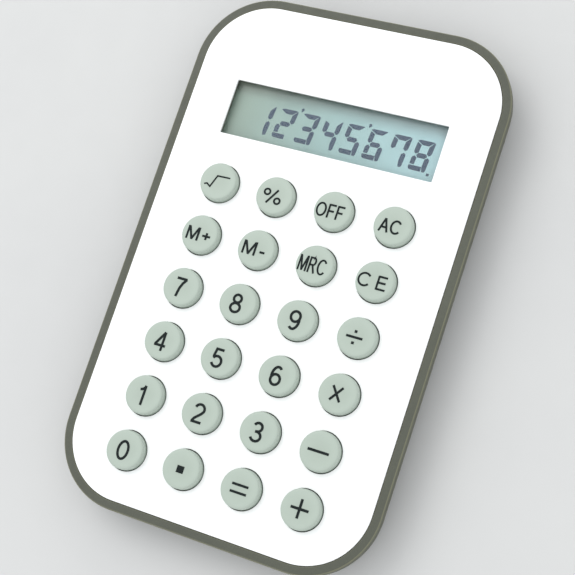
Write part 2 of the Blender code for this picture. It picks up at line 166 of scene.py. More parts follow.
KEYS = sorted(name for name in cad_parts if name.startswith("key_"))
SCREWS = sorted(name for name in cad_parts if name.startswith("case_screw"))
FEET = sorted(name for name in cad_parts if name.startswith("rubber_foot"))
FACE_TOP = high("face_plate").z
CASE_SIZE = (high("rear_cover").x * 2, high("rear_cover").y * 2)


# ---- outlines


def circle(radius, sides, centre):
    turn = 2 * math.pi / sides
    return [
        (centre[0] + radius * math.cos(turn * i), centre[1] + radius * math.sin(turn * i))
        for i in range(sides)
    ]


def rounded_rectangle(size, radius, centre=(0.0, 0.0), steps=3):
    points = []
    reach = (size[0] / 2 - radius, size[1] / 2 - radius)
    for corner, side in enumerate(((1, 1), (-1, 1), (-1, -1), (1, -1))):
        for step in range(steps + 1):
            angle = math.pi / 2 * (corner + step / steps)
            points.append((
                centre[0] + side[0] * reach[0] + radius * math.cos(angle),
                centre[1] + side[1] * reach[1] + radius * math.sin(angle),
            ))
    return points


def case_outline(inset):
    size = (CASE_SIZE[0] - 2 * inset, CASE_SIZE[1] - 2 * inset)
    return rounded_rectangle(size, CASE_CORNER - inset, steps=24)


def hole_outline(radius, centre, sides=64):
    """Outline of a hole that widens by its offset."""
    def outline(offset):
        return circle(radius + offset, sides, centre)
    return outline


def window_outline(margin):
    """Outline of the display window that widens by its offset."""
    def outline(offset):
        grow = 2 * (margin + offset)
        size = (WINDOW_SIZE[0] + grow, WINDOW_SIZE[1] + grow)
        return rounded_rectangle(size, WINDOW_CORNER + offset, (0.0, WINDOW_Y), steps=5)
    return outline


def rounded_edge(radius, top, steps):
    """(offset, height) pairs from a flat top, over a round edge, onto a vertical wall."""
    pairs = []
    for step in range(steps + 1):
        angle = math.pi / 2 * step / steps
        pairs.append((radius * (1 - math.sin(angle)), top - radius * (1 - math.cos(angle))))
    return pairs


def rounded_foot(radius, bottom, steps):
    """(offset, height) pairs from a vertical wall, round onto a flat underside."""
    return [(offset, 2 * bottom - z) for offset, z in reversed(rounded_edge(radius, bottom, steps))]


def wall_to_top(wall, edge, top, steps):
    """(place, height) pairs from a wall at a place, over a round edge, onto a flat top."""
    return [(wall - offset, z) for offset, z in reversed(rounded_edge(edge, top, steps))]


def underside_to_wall(wall, edge, bottom, steps):
    """(place, height) pairs from a flat underside, over a round edge, up to a wall."""
    return [(wall - offset, -z) for offset, z in rounded_edge(edge, -bottom, steps)]


# ---- mesh building


def add_band(bm, upper, lower):
    """A closed band of faces between two rings."""
    for i in range(len(upper)):
        bm.faces.new((upper[i - 1], upper[i], lower[i], lower[i - 1]))


def add_rings(bm, outline, profile, close=False):
    """Skin through the outline at each (offset, height) pair. Gives its first and last rings."""
    rings = [[bm.verts.new((x, y, z)) for x, y in outline(offset)] for offset, z in profile]
    for upper, lower in zip(rings, rings[1:]):
        add_band(bm, upper, lower)
    if close:
        bm.faces.new(rings[-1])
    return rings[0], rings[-1]


def fill(bm, rings):
    """A flat face inside the first ring, with a hole at each of the others."""
    edges = []
    for ring in rings:
        for i in range(len(ring)):
            pair = (ring[i - 1], ring[i])
            edges.append(bm.edges.get(pair) or bm.edges.new(pair))
    bmesh.ops.triangle_fill(bm, use_beauty=True, edges=edges)


def add_solid(bm, outline, profile):
    """A closed solid: the skin through the outlines, flat at both ends."""
    for ring in add_rings(bm, outline, profile):
        bm.faces.new(ring)


def add_turned(bm, profile, sides, centre=(0.0, 0.0)):
    """A closed turned solid through (radius, height) pairs, flat at both ends."""
    add_solid(bm, hole_outline(0.0, centre, sides), profile)


def add_slab(bm, outline, heights, edge):
    """A flat piece with softened edges, from an outline function of its inset."""
    bottom, top = heights
    add_solid(bm, outline, rounded_edge(edge, top, 3) + rounded_foot(edge, bottom, 3))


def to_mesh(name, bm, smooth=35.0):
    """Finishes a mesh drawn in millimetres: metres, outward faces, sharp edges kept sharp."""
    bmesh.ops.recalc_face_normals(bm, faces=bm.faces)
    bmesh.ops.scale(bm, vec=(MM,) * 3, verts=bm.verts)
    mesh = bpy.data.meshes.new(name)
    bm.to_mesh(mesh)
    bm.free()
    mesh.shade_smooth()
    mesh.set_sharp_from_angle(angle=math.radians(smooth))
    return mesh


def place(name, mesh, material, body="case", nodes=(), location=(0.0, 0.0, 0.0)):
    """Puts a finished mesh into the scene as a piece that rides on a CAD body."""
    piece = bpy.data.objects.new(name, mesh)
    bpy.context.scene.collection.objects.link(piece)
    if not mesh.materials:
        mesh.materials.append(material)
    piece.location = [MM * value for value in location]
    shading = piece.modifiers.new("Flat faces stay flat", "WEIGHTED_NORMAL")
    shading.keep_sharp = True
    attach(piece, body)
    if nodes:
        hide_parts(*nodes)
    return piece


def cut(mesh, operation, tool_mesh):
    """The mesh joined, cut or trimmed with another, as a new mesh."""
    body = bpy.data.objects.new("body", mesh)
    tool = bpy.data.objects.new("tool", tool_mesh)
    for item in (body, tool):
        bpy.context.scene.collection.objects.link(item)
    modifier = body.modifiers.new("Cut", "BOOLEAN")
    modifier.operation = operation
    modifier.object = tool
    evaluated = body.evaluated_get(bpy.context.evaluated_depsgraph_get())
    result = bpy.data.meshes.new_from_object(evaluated)
    result.name = mesh.name
    for item in (body, tool):
        bpy.data.objects.remove(item, do_unlink=True)
    result.shade_smooth()
    result.set_sharp_from_angle(angle=math.radians(35))
    return result


# ---- materials


class Nodes:
    """One material's node tree, with short calls for what the finishes share."""

    def __init__(self, name):
        self.material = bpy.data.materials.new(name)
        self.material.use_nodes = True
        self.tree = self.material.node_tree
        self.shader = self.tree.nodes["Principled BSDF"]
        self.output = self.tree.nodes["Material Output"]
        self.coords = self.tree.nodes.new("ShaderNodeTexCoord").outputs["Object"]

    def add(self, kind, **values):
        node = self.tree.nodes.new(kind)
        for name, value in values.items():
            if hasattr(node, name):
                setattr(node, name, value)
            else:
                node.inputs[name.replace("_", " ")].default_value = value
        return node

    def link(self, source, target):
        self.tree.links.new(source, target)

    def finish(self, color, roughness, relief=None):
        """Links the surface's values to the shader and gives the material."""
        self.link(color, self.shader.inputs["Base Color"])
        self.link(roughness, self.shader.inputs["Roughness"])
        if relief:
            self.link(relief, self.shader.inputs["Normal"])
        return self.material

    def noise(self, size_mm, detail=3.0, roughness=0.5, stretch=None):
        """Noise whose features are about size_mm across."""
        scale = 1.0 / (size_mm * MM)
        node = self.add("ShaderNodeTexNoise", Scale=scale, Detail=detail, Roughness=roughness)
        source = self.coords
        if stretch:
            mapping = self.add("ShaderNodeMapping")
            mapping.inputs["Scale"].default_value = stretch
            self.link(source, mapping.inputs["Vector"])
            source = mapping.outputs["Vector"]
        self.link(source, node.inputs["Vector"])
        return node.outputs["Fac"]

    def ramp(self, factor, stops):
        node = self.add("ShaderNodeValToRGB")
        node.color_ramp.elements.remove(node.color_ramp.elements[0])
        node.color_ramp.elements[0].position = stops[0][0]
        node.color_ramp.elements[0].color = (*stops[0][1], 1.0)
        for position, color in stops[1:]:
            node.color_ramp.elements.new(position).color = (*color, 1.0)
        self.link(factor, node.inputs["Fac"])
        return node.outputs["Color"]

    def spread(self, factor, lowest, highest, start=0.3, end=0.7):
        """A factor mapped onto a range of values."""
        node = self.add("ShaderNodeMapRange")
        node.inputs["From Min"].default_value = start
        node.inputs["From Max"].default_value = end
        node.inputs["To Min"].default_value = lowest
        node.inputs["To Max"].default_value = highest
        self.link(factor, node.inputs["Value"])
        return node.outputs["Result"]

    def blend(self, kind, factor, first, second):
        """Two colours multiplied or added."""
        node = self.add("ShaderNodeMix", data_type="RGBA", blend_type=kind)
        node.inputs["Factor"].default_value = factor
        sockets = [socket for socket in node.inputs if socket.type == "RGBA"]
        self.link(first, sockets[0])
        self.link(second, sockets[1])
        return next(socket for socket in node.outputs if socket.type == "RGBA")

    def bump(self, height, distance_mm, strength, below=None):
        node = self.add("ShaderNodeBump", Strength=strength, Distance=distance_mm * MM)
        self.link(height, node.inputs["Height"])
        if below:
            self.link(below, node.inputs["Normal"])
        return node.outputs["Normal"]


BLACK = (0.0, 0.0, 0.0)
WHITE = (1.0, 1.0, 1.0)
# tone added as a painted highlight on edges that face up and outwards
EDGE_HIGHLIGHT_TONE = (0.10, 0.095, 0.055)


def shade(color, factor):
    return tuple(min(1.0, channel * factor) for channel in color)


def moulded(name, color, roughness, grain_mm, grain, mottle=0.06, specular=0.5, edge_highlight=0.0):
    """Moulded plastic or rubber: spark-eroded grain, faint mottling and a few handling marks.
    Edges that face up and outwards get a painted highlight, lighter where their rounding would catch the
    light."""
    n = Nodes(name)
    n.shader.inputs["Specular IOR Level"].default_value = specular
    tone = n.ramp(n.noise(9.0), [(0.3, shade(color, 1 - mottle)), (0.7, shade(color, 1 + mottle))])
    specks = n.ramp(n.noise(0.28, 2.0, 0.7), [(0.35, (0.84, 0.82, 0.86)), (0.65, (1.0, 1.0, 0.98))])
    tone = n.blend("MULTIPLY", 1.0, tone, specks)
    # painted highlight: a lighter tone on rounded edges by how far their normal turns up, standing in for
    # light on the crown
    if edge_highlight:
        facing = n.add("ShaderNodeSeparateXYZ")
        n.link(n.add("ShaderNodeNewGeometry").outputs["Normal"], facing.inputs["Vector"])
        edge = n.ramp(facing.outputs["Z"], [(0.02, BLACK), (0.2, WHITE), (0.94, WHITE), (0.992, BLACK)])
        tone = n.blend("ADD", edge_highlight, tone, n.ramp(edge, [(0.0, BLACK), (1.0, EDGE_HIGHLIGHT_TONE)]))
    marks = n.spread(n.noise(1.7, 5.0, 0.65), roughness - 0.06, roughness + 0.08)
    relief = n.bump(n.noise(grain_mm, 2.0, 0.6), grain_mm * 0.25, grain)
    relief = n.bump(n.noise(grain_mm * 5, 2.0), grain_mm * 0.4, grain * 0.6, relief)
    return n.finish(tone, marks, relief)


def make_face_material():
    """Smooth satin white with a faint orange-peel surface and warm and cool drifts."""
    n = Nodes("face_white")
    drift = n.noise(26.0, 2.0)
    tone = n.ramp(drift, [(0.3, (0.885, 0.890, 0.885)), (0.7, (0.915, 0.915, 0.905))])
    handling = n.spread(n.noise(3.0, 4.0, 0.6), 0.34, 0.44)
    return n.finish(tone, handling, n.bump(n.noise(0.9, 2.0), 0.02, 0.12))


def make_key_material():
    """Pale sage plastic with a fine satin grain, and painted light: a touch lighter towards its edge."""
    n = Nodes("key_sage")
    flat = n.add("ShaderNodeVectorMath", operation="MULTIPLY")
    flat.inputs[1].default_value = (1.0, 1.0, 0.0)
    n.link(n.coords, flat.inputs[0])
    reach = n.add("ShaderNodeVectorMath", operation="LENGTH")
    n.link(flat.outputs["Vector"], reach.inputs[0])
    # painted light: the cap is darker in its middle and lighter towards its rim
    painted_rim_light = n.spread(reach.outputs["Value"], 0.0, 1.0, 0.9 * MM, KEY_RADIUS * MM)
    tone = n.ramp(painted_rim_light, [
        (0.0, (0.366, 0.425, 0.366)),
        (0.7, (0.390, 0.452, 0.392)),
        (1.0, (0.385, 0.447, 0.388)),
    ])
    mottle = n.ramp(n.noise(2.2, 4.0, 0.6), [(0.3, (0.965, 0.97, 0.965)), (0.7, WHITE)])
    tone = n.blend("MULTIPLY", 1.0, tone, mottle)
    handling = n.spread(n.noise(1.1, 4.0, 0.6), 0.34, 0.46)
    relief = n.bump(n.noise(0.16, 2.0), 0.02, 0.22)
    return n.finish(tone, handling, n.bump(n.noise(1.4, 2.0), 0.05, 0.15, relief))


def make_ink_material():
    """Screen-printed ink: near black, slightly uneven where the mesh left it thin."""
    n = Nodes("legend_ink")
    patchy = n.noise(0.35, 3.0, 0.6)
    tone = n.ramp(patchy, [(0.3, (0.006, 0.010, 0.010)), (0.75, (0.014, 0.020, 0.019))])
    n.shader.inputs["Specular IOR Level"].default_value = 0.12
    return n.finish(tone, n.spread(patchy, 0.5, 0.65))


# painted shadow: how far the shade under the window's top wall is painted onto the ground
PAINTED_SHADOW_WIDTH = 2.6  # width of the darker band along the top of the window


def make_ground_material():
    """Reflector seen through the cell: grey-green on the left, cooler on the right, and darker along the
    top, where the shadow of the window's top wall is painted in."""
    n = Nodes("lcd_ground")
    axis = n.add("ShaderNodeSeparateXYZ")
    n.link(n.coords, axis.inputs["Vector"])
    half = WINDOW_SIZE[0] / 2 * MM
    across = n.spread(axis.outputs["X"], 0.0, 1.0, -half, half)
    tone = n.ramp(across, [
        (0.0, (0.314, 0.390, 0.330)),
        (0.5, (0.350, 0.500, 0.500)),
        (1.0, (0.455, 0.650, 0.700)),
    ])
    specks = n.ramp(n.noise(0.2, 2.0, 0.7), [(0.35, (0.95, 0.955, 0.96)), (0.65, WHITE)])
    tone = n.blend("MULTIPLY", 1.0, tone, specks)
    # painted shadow: a warm darkening towards the top edge, standing in for the shade under the window's
    # top wall
    top = WINDOW_Y + WINDOW_SIZE[1] / 2
    upper = n.spread(axis.outputs["Y"], 0.0, 1.0, (top - PAINTED_SHADOW_WIDTH) * MM, top * MM)
    band = n.ramp(upper, [(0.0, WHITE), (0.45, (0.86, 0.82, 0.82)), (1.0, (0.78, 0.68, 0.66))])
    tone = n.blend("MULTIPLY", 1.0, tone, band)
    n.shader.inputs["Specular IOR Level"].default_value = 0.8
    return n.finish(tone, n.spread(n.noise(0.5), 0.42, 0.55), n.bump(n.noise(0.1, 2.0), 0.01, 0.2))


def make_segment_material():
    """Liquid crystal switched on: a bluish grey that isn't quite even."""
    n = Nodes("lcd_segment")
    tone = n.ramp(n.noise(0.7, 2.0), [(0.3, (0.047, 0.072, 0.122)), (0.7, (0.060, 0.088, 0.144))])
    return n.finish(tone, n.spread(n.noise(0.4, 2.0), 0.45, 0.6))


def make_clear_material(name, tint, index, roughness):
    """Clear sheet: lets the view and the light through, with gloss on its outer side only."""
    n = Nodes(name)
    n.tree.nodes.remove(n.shader)
    through = n.add("ShaderNodeBsdfTransparent")
    wear = n.ramp(n.noise(6.0, 5.0, 0.65), [(0.35, tint), (0.75, shade(tint, 0.985))])
    n.link(wear, through.inputs["Color"])
    gloss = n.add("ShaderNodeBsdfGlossy")
    n.link(n.spread(n.noise(2.5, 4.0), roughness, roughness + 0.06), gloss.inputs["Roughness"])
    facing = n.add("ShaderNodeFresnel")
    facing.inputs["IOR"].default_value = index
    outside = n.add("ShaderNodeMath", operation="SUBTRACT")
    outside.inputs[0].default_value = 1.0
    n.link(n.add("ShaderNodeNewGeometry").outputs["Backfacing"], outside.inputs[1])
    share = n.add("ShaderNodeMath", operation="MULTIPLY")
    n.link(facing.outputs["Fac"], share.inputs[0])
    n.link(outside.outputs["Value"], share.inputs[1])
    blend = n.add("ShaderNodeMixShader")
    n.link(share.outputs["Value"], blend.inputs["Fac"])
    n.link(through.outputs["BSDF"], blend.inputs[1])
    n.link(gloss.outputs["BSDF"], blend.inputs[2])
    n.link(blend.outputs["Shader"], n.output.inputs["Surface"])
    return n.material


def make_metal_material(name, color, roughness, brush=(1.0, 1.0, 1.0)):
    """Plated metal with a fine brushed or tumbled surface."""
    n = Nodes(name)
    n.shader.inputs["Metallic"].default_value = 1.0
    streaks = n.noise(0.25, 4.0, 0.6, brush)
    tone = n.ramp(streaks, [(0.3, shade(color, 0.88)), (0.7, shade(color, 1.05))])
    polish = n.spread(streaks, roughness - 0.08, roughness + 0.12)
    return n.finish(tone, polish, n.bump(streaks, 0.01, 0.2))


def make_board_material():
    """Green solder mask over copper tracks on laminate."""
    n = Nodes("board_green")
    weave = n.add("ShaderNodeTexBrick", Scale=1.0 / (2.4 * MM))
    weave.offset = 0.5
    tones = {"Color1": (0.02, 0.13, 0.05), "Color2": (0.03, 0.17, 0.065), "Mortar": (0.012, 0.085, 0.034)}
    for socket, color in tones.items():
        weave.inputs[socket].default_value = (*color, 1.0)
    weave.inputs["Mortar Size"].default_value = 0.06
    n.link(n.coords, weave.inputs["Vector"])
    relief = n.bump(weave.outputs["Fac"], 0.03, 0.4)
    return n.finish(weave.outputs["Color"], n.spread(n.noise(1.5), 0.28, 0.42), relief)


MATERIALS = {
    "case": moulded("case_grey", (0.069, 0.075, 0.052), 0.46, 0.16, 0.35, edge_highlight=0.8),
    "face": make_face_material(),
    "key": make_key_material(),
    "ink": make_ink_material(),
    "ground": make_ground_material(),
    "segment": make_segment_material(),
    "lens": make_clear_material("lens_clear", (0.995, 1.0, 0.998), 1.3, 0.04),
    "film": make_clear_material("film_clear", (0.985, 0.995, 0.99), 1.15, 0.22),
    "glass": make_clear_material("cell_glass", (0.995, 1.0, 0.998), 1.08, 0.02),
    "support": moulded("support_white", (0.74, 0.74, 0.71), 0.55, 0.2, 0.2, 0.03),
    "elastomer": moulded("elastomer_grey", (0.16, 0.16, 0.18), 0.75, 0.1, 0.5, 0.12),
    "board": make_board_material(),
    "epoxy": moulded("epoxy_black", (0.012, 0.012, 0.013), 0.28, 0.5, 0.2, 0.2),
    "ceramic": moulded("ceramic_tan", (0.42, 0.30, 0.17), 0.5, 0.08, 0.3, 0.1),
    "mat": moulded("silicone_grey", (0.28, 0.29, 0.29), 0.62, 0.12, 0.3, 0.05),
    "steel": make_metal_material("nickel_can", (0.66, 0.65, 0.62), 0.26),
    "spring_steel": make_metal_material("plated_strip", (0.70, 0.65, 0.52), 0.3, (0.15, 1.0, 1.0)),
    "screw": make_metal_material("screw_steel", (0.33, 0.33, 0.32), 0.36),
    "foot": moulded("foot_rubber", (0.022, 0.022, 0.023), 0.8, 0.14, 0.6, 0.15, 0.3),
}


# ---- face plate and housing


def make_face_plate():
    """The white plate, with soft edges around its border, its window and its key holes."""
    bm = bmesh.new()
    top, bottom = FACE_TOP, low("face_plate").z
    inset = CASE_SIZE[0] / 2 - high("face_plate").x

    def border(offset):
        return case_outline(inset + offset)

    edges = [(border, PLATE_BORDER_EDGE), (window_outline(0.0), PLATE_HOLE_EDGE)]
    edges += [(hole_outline(KEY_HOLE_RADIUS, middle(key).xy), PLATE_HOLE_EDGE) for key in KEYS]
    tops, bottoms = [], []
    for outline, edge in edges:
        first, last = add_rings(bm, outline, rounded_edge(edge, top, 4) + [(0.0, bottom)])
        tops.append(first)
        bottoms.append(last)
    fill(bm, tops)
    fill(bm, bottoms)
    mesh = to_mesh("face_plate_white", bm)
    place("face_plate_white", mesh, MATERIALS["face"], nodes=["face_plate"])


def make_front_housing():
    """The panel under the face plate, the rim around it, the lip and the screw bosses."""
    bm = bmesh.new()
    rim = high("front_housing").z
    panel = low("face_plate").z - FLAT_GAP
    parting = high("display_lens").z + FLAT_GAP
    lip = parting - LIP_DEPTH
    outer = [(RIM_INSET, panel)]
    outer += wall_to_top(RIM_INSET, RIM_SOFT, rim, 3)
    outer += rounded_edge(RIM_EDGE, rim, 6)
    outer += [(0.0, parting + PARTING_EDGE), (PARTING_EDGE, parting)]
    outer += [(LIP_INSET, parting), (LIP_INSET, lip)]
    outer += [(LIP_INSET + LIP_THICKNESS, lip), (LIP_INSET + LIP_THICKNESS, parting)]
    first, last = add_rings(bm, case_outline, outer)
    tops, bottoms = [first], [last]
    walls = [hole_outline(KEY_HOLE_RADIUS, middle(key).xy, 48) for key in KEYS]
    for outline in [window_outline(WINDOW_MARGIN), *walls]:
        first, last = add_rings(bm, outline, [(0.0, panel), (0.0, parting)])
        tops.append(first)
        bottoms.append(last)
    boss_end = low("front_housing").z
    boss = [(FRONT_BOSS_RADIUS, parting), (FRONT_BOSS_RADIUS, boss_end + FRONT_BOSS_EDGE)]
    boss += [(FRONT_BOSS_RADIUS - FRONT_BOSS_EDGE, boss_end), (SCREW_BORE_RADIUS, boss_end)]
    boss.append((SCREW_BORE_RADIUS, SCREW_BORE_TOP))
    for screw in SCREWS:
        first, _ = add_rings(bm, hole_outline(0.0, middle(screw).xy, 32), boss, close=True)
        bottoms.append(first)
    fill(bm, tops)
    fill(bm, bottoms)
    mesh = to_mesh("front_housing_grey", bm)
    place("front_housing_grey", mesh, MATERIALS["case"], nodes=["front_housing"])


# ---- rear cover and door


def dish(depth, reach, start, steps):
    """(inset, height) pairs from the flat floor of the dish, out and up to its rim."""
    top = high("rear_cover").z
    return [
        (
            start + reach * (1 - math.sin(math.pi / 2 * step / steps)),
            top - depth * math.cos(math.pi / 2 * step / steps),
        )
        for step in range(steps + 1)
    ]


def door_section(half, tongue, tongue_height, top):
    """(x, z) outline of the door or of its channel, with a tongue along each side."""
    right = [(half, BELOW), (half, tongue_height[0]), (tongue, tongue_height[0])]
    right += [(tongue, tongue_height[1]), (half, tongue_height[1]), (half, top)]
    return right + [(-x, z) for x, z in reversed(right)]


def prism(name, section, start, end):
    """A prism along Y with an (x, z) cross-section."""
    bm = bmesh.new()
    ends = [[bm.verts.new((x, y, z)) for x, z in section] for y in (start, end)]
    add_band(bm, *ends)
    for ring in ends:
        bm.faces.new(ring)
    return to_mesh(name, bm)


def turned_tool(name, radius, heights, centre):
    """A round plug for a join or a cut."""
    bm = bmesh.new()
    add_turned(bm, [(radius, z) for z in heights], 96, centre)
    return to_mesh(name, bm)


def bore_mouth(radius, edge):
    """(radius, height) pairs up from the flat back into a bore, over a round edge."""
    bottom = low("rear_cover").z
    return [(radius + offset, -z) for offset, z in rounded_edge(edge, -bottom, 3)]


def screw_bore(floor):
    """The way through the rear cover for a screw, and the boss around it."""
    bore = bore_mouth(COUNTERBORE_RADIUS, COUNTERBORE_EDGE)
    bore += [(COUNTERBORE_RADIUS, COUNTERBORE_TOP), (SCREW_BORE_RADIUS, COUNTERBORE_TOP)]
    bore += [(SCREW_BORE_RADIUS, REAR_BOSS_TOP), (REAR_BOSS_RADIUS - REAR_BOSS_EDGE, REAR_BOSS_TOP)]
    bore += [(REAR_BOSS_RADIUS, REAR_BOSS_TOP - REAR_BOSS_EDGE), (REAR_BOSS_RADIUS, floor)]
    return bore


def make_cover_shell():
    """The dish with its screw bores, foot recesses and the posts under the board."""
    top, bottom = high("rear_cover").z, low("rear_cover").z
    outer = dish(top - bottom, BACK_CURVE_IN, 0.0, 24)
    inner = dish(top - bottom - WALL, BACK_CURVE_IN - WALL, WALL, 12)
    rim = [(0.0, top - PARTING_EDGE), (PARTING_EDGE, top), (WALL, top)]
    bm = bmesh.new()
    first, last = add_rings(bm, case_outline, outer[:-1] + rim + inner[::-1][1:])
    bottoms, floors = [first], [last]
    floor = bottom + WALL
    for screw in SCREWS:
        start, end = add_rings(bm, hole_outline(0.0, middle(screw).xy, 48), screw_bore(floor))
        bottoms.append(start)
        floors.append(end)
    recess = bore_mouth(FOOT_RECESS_RADIUS, FOOT_RECESS_EDGE) + [(FOOT_RECESS_RADIUS, FOOT_RECESS_TOP)]
    for foot in FEET:
        start, _ = add_rings(bm, hole_outline(0.0, middle(foot).xy), recess, close=True)
        bottoms.append(start)
    post = [(POST_RADIUS + POST_FILLET, floor), (POST_RADIUS, floor + POST_FILLET), (POST_RADIUS, POST_TOP)]
    for x in (-POST_PLACE, POST_PLACE):
        for y in (-POST_PLACE, POST_PLACE):
            start, _ = add_rings(bm, hole_outline(0.0, (x, y), 24), post, close=True)
            floors.append(start)
    fill(bm, bottoms)
    fill(bm, floors)
    return to_mesh("rear_cover_grey", bm)


def make_rear_cover():
    """The shell, with the wall and bore of the button cell and the door's channel."""
    mesh = make_cover_shell()
    cell = middle("button_cell").xy
    root = low("rear_cover").z + WALL - CELL_WALL_ROOT
    wall = turned_tool("cell_wall", CELL_WALL_RADIUS, (root, CELL_WALL_TOP), cell)
    mesh = cut(mesh, "UNION", wall)
    bore = turned_tool("cell_bore", CELL_BORE_RADIUS, (BELOW, CELL_BORE_TOP), cell)
    mesh = cut(mesh, "DIFFERENCE", bore)
    door_low, door_high = low("battery_door"), high("battery_door")
    half = door_high.x - TONGUE_OUT + DOOR_GAP
    groove = (TONGUE_HEIGHT[0] - DOOR_GAP, TONGUE_HEIGHT[1] + DOOR_GAP)
    channel = door_section(half, half + TONGUE_OUT, groove, door_high.z + DOOR_GAP)
    mesh = cut(mesh, "DIFFERENCE", prism("door_channel", channel, door_low.y - DOOR_END_GAP, BEYOND))
    place("rear_cover_grey", mesh, MATERIALS["case"], nodes=["rear_cover"])


def make_grip_groove(order):
    """A cutter for one finger groove across the door, with rounded ends and edges."""
    bottom = low("rear_cover").z
    width, length = GRIP_SIZE
    place_y = GRIP_START_Y + GRIP_PITCH * order + length / 2

    def outline(offset):
        size = (width - 2 * offset, length - 2 * offset)
        return rounded_rectangle(size, length / 2 - offset, (0.0, place_y), 6)

    profile = [(0.0, bottom - CUT_ROOM), (0.0, bottom)]
    profile += [(0.06, bottom + GRIP_DEPTH * 0.7), (0.18, bottom + GRIP_DEPTH)]
    bm = bmesh.new()
    add_solid(bm, outline, profile)
    return to_mesh("grip_groove", bm)


def make_battery_door():
    """The door is cut from the case's own outer shape, so that it follows the curved back."""
    top, bottom = high("rear_cover").z, low("rear_cover").z
    door_low, door_high = low("battery_door"), high("battery_door")
    bm = bmesh.new()
    add_solid(bm, case_outline, dish(top - bottom, BACK_CURVE_IN, 0.0, 24))
    envelope = to_mesh("case_envelope", bm)
    section = door_section(door_high.x - TONGUE_OUT, door_high.x, TONGUE_HEIGHT, door_high.z)
    mesh = cut(prism("battery_door_grey", section, door_low.y, BEYOND), "INTERSECT", envelope)
    for order in range(GRIP_GROOVES):
        mesh = cut(mesh, "DIFFERENCE", make_grip_groove(order))
    place("battery_door_grey", mesh, MATERIALS["case"], "battery_door", ["battery_door"])


# ---- keys and legends


def make_key_mesh():
    """A round key: soft-edged cap, barely dished on top, with a flange under the face."""
    top = high(KEYS[0]).z - PRINT_ROOM
    flange_low = low(KEYS[0]).z
    flange_top = flange_low + FLANGE_THICKNESS
    flange = high(KEYS[0]).x - middle(KEYS[0]).x
    profile = [(0.02, top - KEY_DISH)]
    for step in range(1, DISH_RINGS + 1):
        part = step / DISH_RINGS
        profile.append(((KEY_RADIUS - KEY_EDGE) * part, top - KEY_DISH * (1 - part ** 2)))
    for offset, z in rounded_edge(KEY_EDGE, top, 8)[1:]:
        profile.append((KEY_RADIUS - offset, z))
    profile += [(KEY_RADIUS, flange_top), (flange - FLANGE_EDGE, flange_top)]
    profile += [(flange, flange_top - FLANGE_EDGE), (flange, flange_low + FLANGE_EDGE)]
    profile.append((flange - FLANGE_EDGE, flange_low))
    bm = bmesh.new()
    add_turned(bm, profile, 96)
    mesh = to_mesh("key_cap", bm, smooth=50.0)
    mesh.materials.append(MATERIALS["key"])
    return mesh


def arc(centre, radii, start, end, steps):
    """Points along an ellipse, by angles in degrees."""
    points = []
    for step in range(steps + 1):
        angle = math.radians(start + (end - start) * step / steps)
        points.append((centre[0] + radii[0] * math.cos(angle), centre[1] + radii[1] * math.sin(angle)))
    return points


# A stroke is (points, closed), and a glyph is (width, strokes) on a cap height of 1
OVAL_STEPS = 40


def line(*points):
    return list(points), False


def curve(*points):
    return arc(*points), False


def oval(centre, radii):
    last = OVAL_STEPS - 1
    return arc(centre, radii, 0.0, 360.0 * last / OVAL_STEPS, last), True


